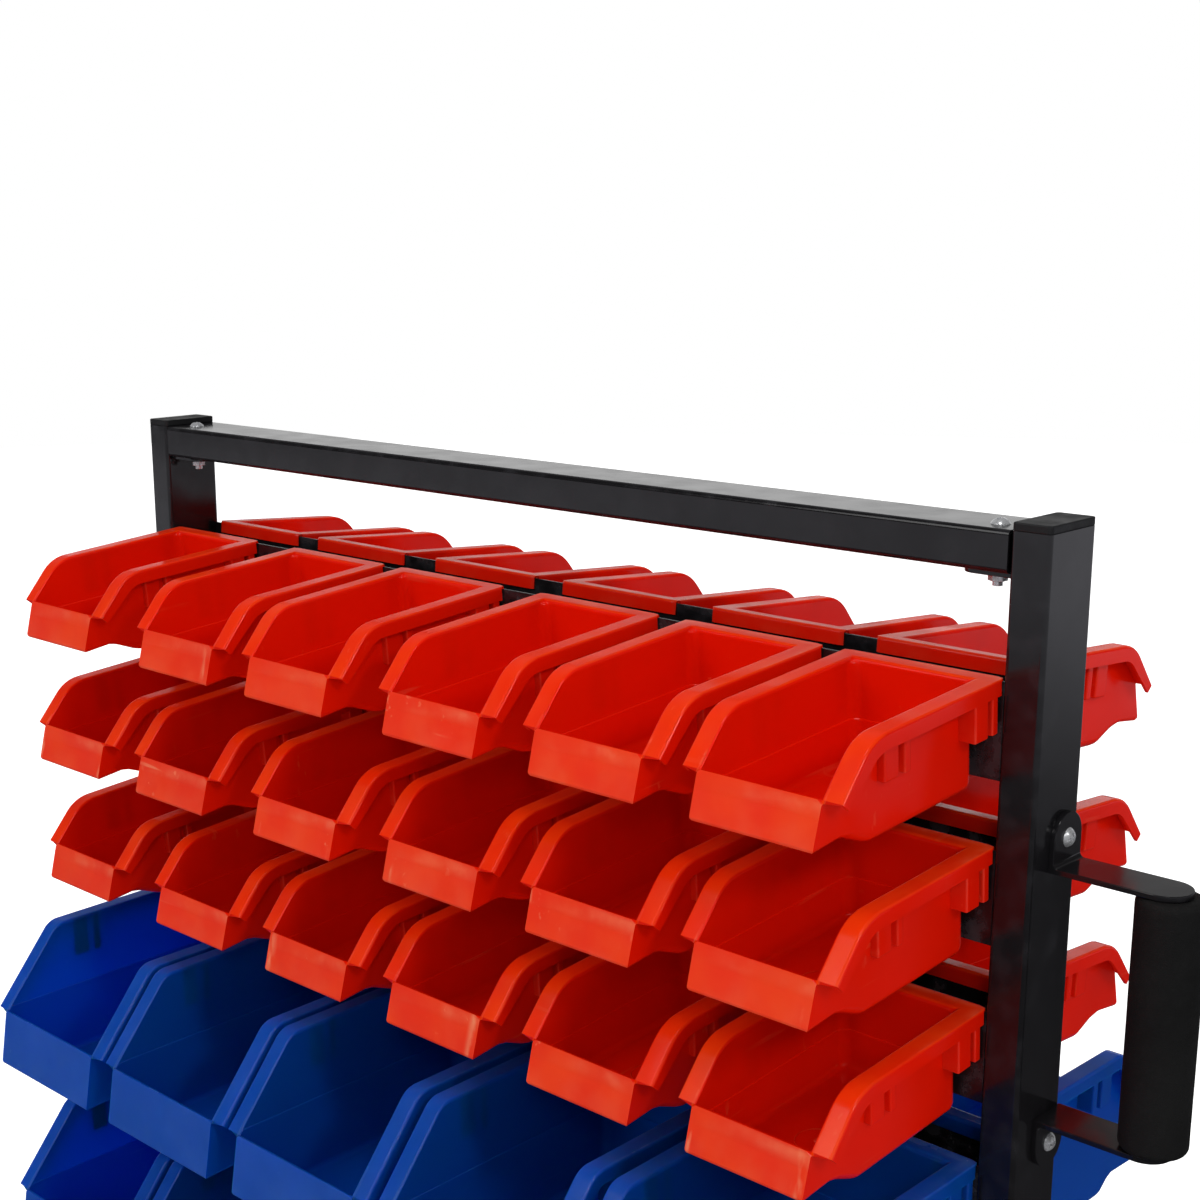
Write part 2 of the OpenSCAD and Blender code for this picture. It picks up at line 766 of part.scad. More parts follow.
module fork(sx, front, braked) {
    boss_r = axle_r + axle_boss;
    ear_r = pedal_pin_r + ear_boss;
    color("#9a9da3") at_castor(sx, front) difference() {
        union() {
            translate([0, 0, crown_z]) cylinder(h = crown_h, r = cup_r);
            translate([-axle_half, -cup_r, crown_z]) cube([2 * axle_half, 2 * cup_r - over, leg_t]);
            for (s = [-1, 1]) translate([s * (leg_in + leg_t / 2), 0, 0]) side_plate(leg_t) {
                polygon([
                    [cup_r, crown_z + leg_t],
                    [over - cup_r, crown_z + leg_t],
                    [over - cup_r, crown_z - leg_t],
                    [trail - boss_r, wheel_r],
                    [trail + boss_r, wheel_r],
                    [cup_r + boss_r, crown_z - boss_r]]);
                translate([trail, wheel_r]) circle(boss_r);
                if (braked) {
                    translate([pedal_y, pedal_z]) circle(ear_r);
                    polygon([
                        [cup_r - over, crown_z + leg_t],
                        [cup_r - over, crown_z - boss_r],
                        [pedal_y, pedal_z - ear_r],
                        [pedal_y, pedal_z + ear_r]]);
                }
            }
        }
        translate([0, 0, crown_z - over]) cylinder(h = crown_h + 2 * over, r = king_r + run_gap);
        translate([0, -trail, wheel_r]) rotate([0, 90, 0])
            cylinder(h = 4 * wheel_w, r = axle_r + screw_gap, center = true);
        if (braked) translate([0, -pedal_y, pedal_z]) rotate([0, 90, 0])
            cylinder(h = 4 * wheel_w, r = pedal_pin_r + run_gap, center = true);
    }
}

module axle(sx, front) {
    color("#b9bcc2") at_castor(sx, front) translate([0, -trail, wheel_r]) rotate([0, 90, 0]) {
        cylinder(h = 2 * axle_half, r = axle_r, center = true);
        for (s = [0, 1]) mirror([0, 0, s]) translate([0, 0, axle_half]) hex(axle_af, axle_head_h);
    }
}

module hub(sx, front) {
    boss = leg_in - face_gap;
    web_t = wheel_w / 3;
    color("#d9dadc") at_castor(sx, front) translate([0, -trail, wheel_r]) rotate([0, 90, 0])
        rotate_extrude() {
            translate([axle_r + run_gap, -boss]) square([hub_rim, 2 * boss]);
            translate([axle_r + run_gap, -web_t / 2]) square([hub_r - axle_r - run_gap, web_t]);
            translate([hub_r - hub_rim, -wheel_w / 2]) square([hub_rim, wheel_w]);
        }
}

module tyre(sx, front) {
    half = wheel_w / 2;
    color("#1b1b1d") at_castor(sx, front) translate([0, -trail, wheel_r]) rotate([0, 90, 0])
        rotate_extrude() polygon(concat(
            [[hub_r, -half]],
            arc([wheel_r - tyre_edge, tyre_edge - half], tyre_edge, 270, 360, 4),
            arc([wheel_r - tyre_edge, half - tyre_edge], tyre_edge, 0, 90, 4),
            [[hub_r, half]]));
}

module brake_pedal(sx) {
    barrel_l = 2 * (leg_in - face_gap);
    color("#b3241a") at_castor(sx, true) translate([0, -pedal_y, pedal_z]) {
        rotate([0, 90, 0]) cylinder(h = barrel_l, r = barrel_r, center = true);
        rotate([0, 90, 0]) cylinder(h = 2 * axle_half, r = pedal_pin_r, center = true);
        translate([-barrel_l / 2, -barrel_r - pedal_l, 0]) cube([barrel_l, barrel_r + pedal_l, pedal_t]);
        translate([-wheel_w / 2, -shoe_out, -shoe_h]) cube([wheel_w, shoe_t, shoe_h]);
    }
}

module left_front_fork() {
    fork(-1, true, true);
}

module left_front_axle() {
    axle(-1, true);
}

module left_front_hub() {
    hub(-1, true);
}

module left_front_tyre() {
    tyre(-1, true);
}

module left_brake_pedal() {
    brake_pedal(-1);
}

module right_front_fork() {
    fork(1, true, true);
}

module right_front_axle() {
    axle(1, true);
}

module right_front_hub() {
    hub(1, true);
}

module right_front_tyre() {
    tyre(1, true);
}

module right_brake_pedal() {
    brake_pedal(1);
}

module left_rear_fork() {
    fork(-1, false, false);
}

module left_rear_axle() {
    axle(-1, false);
}

module left_rear_hub() {
    hub(-1, false);
}

module left_rear_tyre() {
    tyre(-1, false);
}

module right_rear_fork() {
    fork(1, false, false);
}

module right_rear_axle() {
    axle(1, false);
}

module right_rear_hub() {
    hub(1, false);
}

module right_rear_tyre() {
    tyre(1, false);
}

// bins: the first front row one by one, the others a row at a time
module front_red_bin_1() {
    small_hung(front_small_places[0][0], 0, true);
}

module front_red_bin_2() {
    small_hung(front_small_places[0][1], 0, true);
}

module front_red_bin_3() {
    small_hung(front_small_places[0][2], 0, true);
}

module front_red_bin_4() {
    small_hung(front_small_places[0][3], 0, true);
}

module front_red_bin_5() {
    small_hung(front_small_places[0][4], 0, true);
}

module front_red_bin_6() {
    small_hung(front_small_places[0][5], 0, true);
}

module front_red_row_2() {
    small_row(front_small_places[1], 1, true);
}

module front_red_row_3() {
    small_row(front_small_places[2], 2, true);
}

module rear_red_row_1() {
    small_row(rear_small_places, 0, false);
}

module rear_red_row_2() {
    small_row(rear_small_places, 1, false);
}

module rear_red_row_3() {
    small_row(rear_small_places, 2, false);
}

module front_blue_row_1() {
    large_row(front_large_places[0], 0, true);
}

module front_blue_row_2() {
    large_row(front_large_places[1], 1, true);
}

module front_blue_row_3() {
    large_row(front_large_places[2], 2, true);
}

module rear_blue_row_1() {
    large_row(rear_large_places, 0, false);
}

module rear_blue_row_2() {
    large_row(rear_large_places, 1, false);
}

module rear_blue_row_3() {
    large_row(rear_large_places, 2, false);
}

left_post();
right_post();
tube_caps();
top_rail();
top_rail_tabs();
top_rail_bolts();
hex_nuts();
bin_rail_1();
bin_rail_2();
bin_rail_3();
bin_rail_4();
bin_rail_5();
bin_rail_6();
rail_screws();
left_foot();
right_foot();
lower_cross_rail();
upper_handle_bracket();
lower_handle_bracket();
handle_screws();
handle_rod();
handle_grip();
castor_stems();
left_front_fork();
left_front_axle();
left_front_hub();
left_front_tyre();
left_brake_pedal();
right_front_fork();
right_front_axle();
right_front_hub();
right_front_tyre();
right_brake_pedal();
left_rear_fork();
left_rear_axle();
left_rear_hub();
left_rear_tyre();
right_rear_fork();
right_rear_axle();
right_rear_hub();
right_rear_tyre();
front_red_bin_1();
front_red_bin_2();
front_red_bin_3();
front_red_bin_4();
front_red_bin_5();
front_red_bin_6();
front_red_row_2();
front_red_row_3();
rear_red_row_1();
rear_red_row_2();
rear_red_row_3();
front_blue_row_1();
front_blue_row_2();
front_blue_row_3();
rear_blue_row_1();
rear_blue_row_2();
rear_blue_row_3();
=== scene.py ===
"""Looks of a mobile parts bin rack: moulded bins, foam grip, finishes, light and camera around the CAD."""

import math

import bmesh
import bpy
from mathutils import Matrix, Vector, noise


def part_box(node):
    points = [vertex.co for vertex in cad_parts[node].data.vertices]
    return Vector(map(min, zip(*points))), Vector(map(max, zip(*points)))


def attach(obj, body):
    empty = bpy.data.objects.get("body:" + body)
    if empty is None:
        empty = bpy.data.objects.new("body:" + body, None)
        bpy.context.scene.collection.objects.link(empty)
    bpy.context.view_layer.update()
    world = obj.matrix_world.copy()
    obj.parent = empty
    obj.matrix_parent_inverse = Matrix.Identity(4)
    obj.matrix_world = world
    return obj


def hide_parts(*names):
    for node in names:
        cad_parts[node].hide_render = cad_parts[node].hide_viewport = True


MM = 0.001

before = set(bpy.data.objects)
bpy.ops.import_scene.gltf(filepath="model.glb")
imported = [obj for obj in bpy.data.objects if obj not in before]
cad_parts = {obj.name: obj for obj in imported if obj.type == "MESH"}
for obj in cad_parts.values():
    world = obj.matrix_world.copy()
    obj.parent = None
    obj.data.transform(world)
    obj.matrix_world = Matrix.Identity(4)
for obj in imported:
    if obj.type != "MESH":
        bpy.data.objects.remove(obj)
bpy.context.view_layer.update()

# Places that repeat the CAD part, in millimetres. X_MID is the middle of the rack, off zero because of
# the handle on one side.
X_MID = -39.5
RAIL_W = 46
RAIL_HOOK = 3.6
HOOK_GAP = 0.5
FLANGE_T = 2
SMALL_RIMS = (915, 814, 713)
LARGE_RIMS = (612, 456, 300)
SMALL_TRAVEL = 349
LARGE_TRAVEL = 329
FRONT_SMALL = (
    (-0.98, -0.53, -0.16, 0.26, 0.64, 1),
    (-0.96, -0.57, -0.15, 0.25, 0.63, 1),
    (-0.95, -0.52, -0.13, 0.25, 0.63, 1),
)
REAR_SMALL = (-0.98, -0.6, -0.19, 0.2, 0.6, 0.98)
FRONT_LARGE = (
    (-0.91, -0.44, 0.03, 0.51, 1),
    (-0.88, -0.41, 0.06, 0.53, 1),
    (-0.94, -0.47, 0, 0.47, 0.94),
)
REAR_LARGE = (-0.96, -0.48, 0, 0.48, 0.96)

# Measures of the bins. Lengths run forward from the rear edge of the rim, heights down from the rim.
WALL = 2
SKIRT_H = 10
SKIRT_TIP_H = 7.5
CORNER_R = 5
INNER_EDGE_R = 3.6
OUTER_EDGE_R = 2.2
TIP_EDGE_R = 1.2
# folds of the floor: along its two sides, and across it from the back wall to the front panel
FLOOR_SIDE_R = (4, 4, 2.5, 1)
FLOOR_ACROSS_R = (6, 6, 4, 3, 1)
RISE_END_UP = 1.5
PANEL_LEAN = 1.1
LUG_W = 13.5
LUG_H = 33
LUG_BACK = 7.5
RIB_T = 6
RIB_SPACE = 5.5
REST_W = 7
REST_H = 40
SMALL_BIN = {
    "width": 110,
    "body": 85.5,
    "depth": 67,
    "bend": 130,
    "bend_r": 30,
    "slant": 45.5,
    "slant_l": 40,
    "nose_l": 169,
    "nose_h": 56.5,
    "belly_l": 117,
    "rise": 31,
    "droop": 4.5,
    "gate": 98,
    "crease": 38,
    "lug": 5,
}
LARGE_BIN = {
    "width": 150,
    "body": 125,
    "depth": 115,
    "bend": 169,
    "bend_r": 16,
    "slant": 49.5,
    "slant_l": 79,
    "nose_l": 230,
    "nose_h": 104,
    "belly_l": 173,
    "rise": 20,
    "droop": 1,
    "gate": 140,
    "crease": 57,
    "lug": 11.5,
}
CREASE_STEP = 0.6
# where the rise from belly to nose turns flatter, as shares of its length and height
BELLY_TURN = 0.72
BELLY_TURN_UP = 0.95
BACK_R = 9
# the bevel modifier's width, of which each fold's weight takes its share
MAX_FOLD = 10


# Finishes


class Nodes:
    """Adds nodes to a tree and links them."""

    def __init__(self, tree):
        self.tree = tree

    def node(self, kind, inputs=(), **settings):
        made = self.tree.nodes.new("ShaderNode" + kind)
        for name, value in settings.items():
            setattr(made, name, value)
        for key, value in dict(inputs).items():
            self.put(value, made.inputs[key])
        return made

    def put(self, value, socket):
        if isinstance(value, bpy.types.NodeSocket):
            self.tree.links.new(value, socket)
        else:
            socket.default_value = value

    def math(self, operation, a, b=0.0, clamp=False):
        return self.node("Math", {0: a, 1: b}, operation=operation, use_clamp=clamp).outputs[0]

    def fade(self, value, start, end, low=0.0, high=1.0):
        """Value between start and end spread from low to high, and held beyond them."""
        inputs = {"Value": value, "From Min": start, "From Max": end, "To Min": low, "To Max": high}
        return self.node("MapRange", inputs, interpolation_type="SMOOTHSTEP").outputs[0]


class Finish(Nodes):
    """A material whose patterns are noise in the piece's own space, shifted for each piece."""

    def __init__(self, name, **sockets):
        self.material = bpy.data.materials.new(name)
        self.material.use_nodes = True
        super().__init__(self.material.node_tree)
        self.shader = self.tree.nodes["Principled BSDF"]
        for socket, value in sockets.items():
            self.shader.inputs[socket.replace("_", " ")].default_value = value
        self.coords = self.node("TexCoord").outputs
        self.place = self.coords["Object"]
        self.chance = self.node("ObjectInfo").outputs["Random"]
        self.point = self.node("NewGeometry").outputs["Pointiness"]
        self.normal = None

    def blotches(self, scale, detail=3.0, stretch=(1, 1, 1), seed=0.0):
        """Noise from 0 to 1 with about scale spots per metre, drawn out along the axes by stretch."""
        place = self.node("Mapping", {"Vector": self.place, "Scale": stretch}).outputs[0]
        drift = self.math("MULTIPLY_ADD", self.chance, 40.0)
        drift.node.inputs[2].default_value = seed
        spots = self.node(
            "TexNoise",
            {"Vector": place, "W": drift, "Scale": scale, "Detail": detail},
            noise_dimensions="4D",
        )
        return spots.outputs[0]

    def blend(self, share, a, b):
        made = self.node("Mix", {0: share, 6: a, 7: b}, data_type="RGBA")
        return made.outputs[2]

    def bump(self, height, depth):
        """Adds relief of that depth in metres on top of what is there."""
        inputs = {"Height": height, "Distance": depth, "Strength": 1.0}
        made = self.node("Bump", inputs)
        if self.normal:
            self.put(self.normal, made.inputs["Normal"])
        self.normal = made.outputs[0]

    def done(self, colour, roughness):
        self.put(colour, self.shader.inputs["Base Color"])
        self.put(roughness, self.shader.inputs["Roughness"])
        if self.normal:
            self.put(self.normal, self.shader.inputs["Normal"])
        return self.material


def shade(colour, factor):
    return (*(c * factor for c in colour), 1)


def moulded(name, colour, haze_and_painted_light_colour, pale, glow, translucence, b):
    """Glossy moulded plastic: translucent, with flow marks, scuff marks, worn edges that also carry a painted
    edge highlight, painted highlight streaks beside the front panel, and a lighter, more orange colour
    painted on the front panel and rim tops where the key lamp falls, mixed with real hazing.
    """
    f = Finish(name, Specular_IOR_Level=0.18, Subsurface_Weight=translucence, Subsurface_Scale=0.01)
    f.shader.inputs["Subsurface Radius"].default_value = glow
    tone = f.fade(f.blotches(7, 4), 0.3, 0.7)
    base = f.blend(tone, shade(colour, 0.92), shade(colour, 1.04))
    flow = f.fade(f.blotches(26, 3, (1, 0.2, 1), 3), 0.42, 0.75, 0, 0.2)
    base = f.blend(flow, base, shade(colour, 0.8))
    spot = f.node("SeparateXYZ", {0: f.place}).outputs
    facing = f.node("SeparateXYZ", {0: f.coords["Normal"]}).outputs
    forward = f.math("MULTIPLY", spot[1], -1 / MM)
    aside = f.math("ABSOLUTE", f.math("MULTIPLY", spot[0], 1 / MM))
    # the outer face of the front panel, and the top of the rim and flanges: faces turned towards the key lamp
    far = f.fade(forward, b["belly_l"] + b["rise"], b["nose_l"] - 14)
    front = f.math("MULTIPLY", far, f.fade(facing[1], -0.8, -0.6, 1, 0))
    front = f.math("MULTIPLY", front, f.fade(aside, b["body"] / 2 + 0.5, b["body"] / 2 + 1.5, 1, 0))
    half = b["body"] / 2 - WALL
    back = (b["width"] - b["body"]) / 2 + WALL
    beyond_side = f.fade(aside, half + 0.8, half + 1.6)
    beyond_back = f.fade(forward, back - 1.6, back - 0.8, 1, 0)
    outside = f.math("MAXIMUM", beyond_side, beyond_back)
    rim = f.math("MULTIPLY", outside, f.fade(facing[2], 0.3, 0.6))
    # painted light: the front panel and rim tops get a lighter, more orange colour where the key lamp falls
    # on them, in blotches that also stand for real hazing of the plastic
    haze_and_painted_light = f.fade(f.blotches(24, 4, seed=47), 0.35, 0.75, 0.3, 0.8)
    haze_and_painted_light = f.math("MULTIPLY", f.math("MAXIMUM", front, rim), haze_and_painted_light)
    base = f.blend(haze_and_painted_light, base, (*haze_and_painted_light_colour, 1))
    patch = f.fade(f.blotches(18, 2, seed=7), 0.5, 0.68)
    scratch = f.fade(f.blotches(160, 2, (1, 0.06, 1), 11), 0.66, 0.72)
    scrape = f.fade(f.blotches(190, 2, (0.05, 1, 0.4), 17), 0.67, 0.73)
    scuffs_and_painted_glints = f.math("MULTIPLY", patch, f.math("MAXIMUM", scratch, scrape))
    scuffs_and_painted_glints = f.math("MULTIPLY", scuffs_and_painted_glints, f.fade(front, 0, 1, 0.08, 0.35))
    # painted highlight: pale upright streaks near the front panel's two sides stand in for glints on its
    # rounded side edges
    beside = f.fade(aside, b["body"] / 2 - 11, b["body"] / 2 - 4)
    painted_glint_streak = f.fade(f.blotches(90, 3, (1, 1, 0.12), 53), 0.58, 0.72, 0, 0.5)
    painted_glint_streak = f.math("MULTIPLY", painted_glint_streak, f.math("MULTIPLY", front, beside))
    # the painted glint streaks join the real scuff marks here
    scuffs_and_painted_glints = f.math("MAXIMUM", scuffs_and_painted_glints, painted_glint_streak)
    # worn edges: convex edges are lightened, partly as real wear and partly as a painted highlight along the
    # rims and corners
    worn = f.fade(f.blotches(45, 3, seed=5), 0.4, 0.7, 0.05, 0.3)
    edge = f.math("MULTIPLY", f.fade(f.point, 0.53, 0.62), worn)
    # not on the flat side walls, where the value at a corner spreads over the whole face
    edge = f.math("MULTIPLY", edge, f.fade(f.math("ABSOLUTE", facing[0]), 0.93, 0.99, 1, 0))
    # real scuff marks and worn edges, together with the painted highlight streaks and painted edge
    # highlights, all mixed towards the pale colour
    wear = f.math("ADD", scuffs_and_painted_glints, edge, True)
    base = f.blend(wear, base, (*pale, 1))
    f.bump(f.blotches(22, 1, seed=31), 0.0012)
    f.bump(f.blotches(1500, 2, seed=37), 0.00003)
    rough = f.fade(f.blotches(35, 3, seed=41), 0.3, 0.7, 0.13, 0.24)
    dull = f.math("ADD", f.math("MULTIPLY", wear, 0.4), f.math("MULTIPLY", front, 0.2))
    return f.done(base, f.math("ADD", rough, dull))


def painted(name, colour, worn):
    """Gloss paint over steel: orange peel, dust and rubbed edges."""
    f = Finish(name, Specular_IOR_Level=0.5)
    tone = f.fade(f.blotches(12, 4), 0.3, 0.7)
    base = f.blend(tone, shade(colour, 0.9), shade(colour, 1.12))
    dust = f.fade(f.blotches(900, 2, seed=3), 0.68, 0.76, 0, 0.1)
    rub = f.math("MULTIPLY", f.fade(f.point, 0.52, 0.6), f.fade(f.blotches(70, 4, seed=7), 0.45, 0.7))
    wear = f.math("MAXIMUM", dust, f.math("MULTIPLY", rub, 0.5))
    base = f.blend(wear, base, worn)
    f.bump(f.blotches(14, 1, seed=13), 0.00012)
    f.bump(f.blotches(420, 2, seed=17), 0.00001)
    rough = f.fade(f.blotches(40, 3, seed=19), 0.3, 0.7, 0.13, 0.18)
    return f.done(base, f.math("ADD", rough, f.math("MULTIPLY", wear, 0.5)))


def grained(name, colour, pale, grain, depth, rough):
    """Matt rubber, foam or plastic with a fine grain and some dust in it."""
    f = Finish(name, Specular_IOR_Level=0.35)
    tone = f.fade(f.blotches(20, 4), 0.3, 0.7)
    base = f.blend(tone, shade(colour, 0.75), shade(colour, 1.3))
    cells = f.node("TexVoronoi", {"Vector": f.place, "Scale": grain}).outputs["Distance"]
    dust = f.fade(f.blotches(grain * 0.4, 3, seed=5), 0.55, 0.75, 0, 0.3)
    edge = f.math("MULTIPLY", f.fade(f.point, 0.52, 0.62), 0.3)
    base = f.blend(f.math("MAXIMUM", dust, edge), base, pale)
    f.bump(f.blotches(30, 2, seed=9), 0.0008)
    f.bump(cells, depth)
    return f.done(base, f.fade(f.blotches(90, 3, seed=11), 0.3, 0.7, rough - 0.08, rough + 0.08))


def plated(name, colour, dull, rough):
    """Plated steel with faint drawn lines and a duller bloom."""
    f = Finish(name, Metallic=0.6)
    bloom = f.fade(f.blotches(140, 4), 0.35, 0.7)
    base = f.blend(bloom, (*colour, 1), (*dull, 1))
    lines = f.blotches(900, 2, (1, 1, 0.08), 3)
    edge = f.math("MULTIPLY", f.fade(f.point, 0.52, 0.6), 0.4)
    base = f.blend(edge, base, (0.9, 0.9, 0.92, 1))
    f.bump(lines, 0.00002)
    f.bump(f.blotches(250, 2, seed=7), 0.00005)
    return f.done(base, f.fade(f.blotches(300, 3, seed=9), 0.3, 0.7, rough - 0.07, rough + 0.1))


RED = moulded(
    "red_moulded",
    colour=(0.79, 0.008, 0.0003),
    # lighter colour painted where the key lamp falls on the front panel and rim tops, with some hazing
    haze_and_painted_light_colour=(0.86, 0.05, 0.003),
    pale=(0.9, 0.32, 0.16),
    glow=(1.0, 0.12, 0.05),
    translucence=0.12,
    b=SMALL_BIN,
)
BLUE = moulded(
    "blue_moulded",
    colour=(0.0014, 0.052, 0.316),
    # lighter colour painted where the key lamp falls on the front panel and rim tops, with some hazing
    haze_and_painted_light_colour=(0.0115, 0.074, 0.42),
    pale=(0.07, 0.16, 0.42),
    glow=(0.05, 0.35, 1.0),
    translucence=0.65,
    b=LARGE_BIN,
)
BLACK = painted("black_paint", (0.007, 0.0066, 0.0076), (0.07, 0.07, 0.08, 1))
CAP = grained("cap_black", (0.007, 0.007, 0.008), (0.03, 0.03, 0.033, 1), 900, 0.00006, 0.5)
FOAM = grained("grip_foam", (0.004, 0.004, 0.004), (0.01, 0.01, 0.01, 1), 1300, 0.0003, 0.85)
RUBBER = grained("tyre_rubber_grey", (0.035, 0.035, 0.036), (0.12, 0.12, 0.12, 1), 700, 0.0002, 0.7)
HUB = grained("hub_grey", (0.5, 0.5, 0.49), (0.62, 0.62, 0.6, 1), 800, 0.0001, 0.5)
PEDAL = grained("pedal_red", (0.4, 0.02, 0.01), (0.6, 0.2, 0.15, 1), 900, 0.0001, 0.45)
ZINC = plated("bright_zinc", (0.72, 0.73, 0.75), (0.55, 0.56, 0.58), 0.24)
CASTOR = plated("dull_zinc", (0.56, 0.57, 0.58), (0.4, 0.41, 0.42), 0.38)
STEEL = plated("drawn_steel", (0.5, 0.5, 0.51), (0.36, 0.36, 0.37), 0.32)


# Bins


class Skin:
    """Faces that share their corners, with round folds along chosen edges. Points are across, forward, up."""

    def __init__(self):
        self.mesh = bmesh.new()
        self.points = {}
        self.fold_layer = self.mesh.edges.layers.float.new("bevel_weight_edge")

    def point(self, across, forward, up):
        key = (round(across, 3), round(forward, 3), round(up, 3))
        if key not in self.points:
            self.points[key] = self.mesh.verts.new((across * MM, -forward * MM, up * MM))
        return self.points[key]

    def face(self, corners):
        self.mesh.faces.new([self.point(*c) for c in corners])

    def fold(self, a, b, radius):
        edge = self.mesh.edges.get((self.point(*a), self.point(*b)))
        edge[self.fold_layer] = radius / MAX_FOLD


def arc(centre, radius, start, end, steps):
    turns = [math.radians(start + (end - start) * i / steps) for i in range(steps + 1)]
    return [(centre[0] + radius * math.cos(t), centre[1] + radius * math.sin(t)) for t in turns]


def bin_lines(b):
    """Rim, skirt and floor lines of a bin's side as (forward, up) points. The rim ends at the front tip."""
    flange = (b["width"] - b["body"]) / 2
    slant = math.radians(b["slant"])
    bend_start = b["bend"] - b["bend_r"] * math.tan(slant / 2)
    middle = (bend_start, -b["bend_r"])
    tip = (b["bend"] + b["slant_l"] * math.cos(slant), -b["slant_l"] * math.sin(slant))
    bend = arc(middle, b["bend_r"], 90, 90 - b["slant"], 6)
    tip_low = (tip[0] - SKIRT_TIP_H * math.sin(slant), tip[1] - SKIRT_TIP_H * math.cos(slant))
    skirt = [tip_low] + arc(middle, b["bend_r"] - SKIRT_H, 90 - b["slant"], 90, 6) + [(CORNER_R, -SKIRT_H)]
    turn = b["belly_l"] + b["rise"] * BELLY_TURN
    rise = (b["depth"] - b["nose_h"]) * BELLY_TURN_UP
    floor = [
        (flange + WALL, WALL - b["depth"]),
        (b["belly_l"] - WALL / 2, WALL - b["depth"]),
        (turn - WALL, WALL - b["depth"] + rise),
        (b["belly_l"] + b["rise"] - WALL, WALL + RISE_END_UP - b["nose_h"]),
        (b["nose_l"] - WALL * PANEL_LEAN, WALL - b["nose_h"]),
    ]
    return flange, bend + [tip], skirt, floor


def rear_corner(outer):
    """Plan of the rim's right rear corner, from its side to its back. The rail's edge passes under its
    first half, so the skirt behind it starts at the middle point."""
    turns = [math.radians(a) for a in (0, 22, 43, 66, 90)]
    return [(outer - CORNER_R + CORNER_R * math.cos(t), CORNER_R - CORNER_R * math.sin(t)) for t in turns]


def bin_skin(b):
    """The inner walls, rim top and outer skirt of a bin as one folded skin."""
    flange, rim, skirt, floor = bin_lines(b)
    half = b["body"] / 2 - WALL
    outer = b["width"] / 2
    back = flange + WALL
    skin = Skin()
    right = rear_corner(outer)
    left = [(-x, d) for x, d in right[::-1]]
    for s in (-1, 1):
        skin.face([(s * half, *p) for p in [(back, 0)] + rim + floor[::-1]])
        for (a, z1), (c, z2) in zip(rim, rim[1:]):
            skin.face([(s * half, a, z1), (s * half, c, z2), (s * outer, c, z2), (s * outer, a, z1)])
        skin.face([(s * outer, *p) for p in [(CORNER_R, 0)] + rim + skirt])
    for a, c in zip(floor, floor[1:]):
        skin.face([(-half, *a), (half, *a), (half, *c), (-half, *c)])
    skin.face([(-half, back, 0), (half, back, 0), (half, *floor[0]), (-half, *floor[0])])
    skin.face([(-half, *rim[-1]), (half, *rim[-1]), (half, *floor[-1]), (-half, *floor[-1])])
    first = rim[0][0]
    inner = [(-half, first), (-half, back), (half, back), (half, first)]
    skin.face([(x, d, 0) for x, d in inner + [(outer, first)] + right + left + [(-outer, first)]])
    behind = right[2:] + left[:-2]
    for a, c in zip(behind, behind[1:]):
        skin.face([(*a, 0), (*c, 0), (*c, -SKIRT_H), (*a, -SKIRT_H)])
    fold_bin(skin, half, outer, back, rim, floor, behind)
    return skin


def fold_bin(skin, half, outer, back, rim, floor, behind):
    """Sets the radii of the folds along the rim, the floor, the back corners and the rear skirt."""
    top = [(back, 0)] + rim
    for s in (-1, 1):
        for i, (a, c) in enumerate(zip(top, top[1:])):
            share = i / (len(top) - 2)
            skin.fold((s * half, *a), (s * half, *c), INNER_EDGE_R + (TIP_EDGE_R - INNER_EDGE_R) * share)
        for a, c in zip([(CORNER_R, 0)] + rim, rim):
            skin.fold((s * outer, *a), (s * outer, *c), OUTER_EDGE_R)
        for a, c, radius in zip(floor, floor[1:], FLOOR_SIDE_R):
            skin.fold((s * half, *a), (s * half, *c), radius)
        skin.fold((s * half, back, 0), (s * half, *floor[0]), BACK_R - WALL)
    skin.fold((-half, back, 0), (half, back, 0), INNER_EDGE_R)
    for a, c in zip(behind, behind[1:]):
        skin.fold((*a, 0), (*c, 0), OUTER_EDGE_R)
    for radius, point in zip(FLOOR_ACROSS_R, floor):
        skin.fold((-half, *point), (half, *point), radius)


def add_prism(mesh, outline, left, right):
    """A solid with that side outline, as forward and up points, from left to right."""
    ends = [[mesh.verts.new((x * MM, -d * MM, z * MM)) for d, z in outline] for x in (left, right)]
    mesh.faces.new(ends[0])
    mesh.faces.new(ends[1][::-1])
    for i in range(len(outline)):
        n = (i + 1) % len(outline)
        mesh.faces.new((ends[0][n], ends[0][i], ends[1][i], ends[1][n]))


def upright(start, end, low, high):
    return [(start, low), (end, low), (end, high), (start, high)]


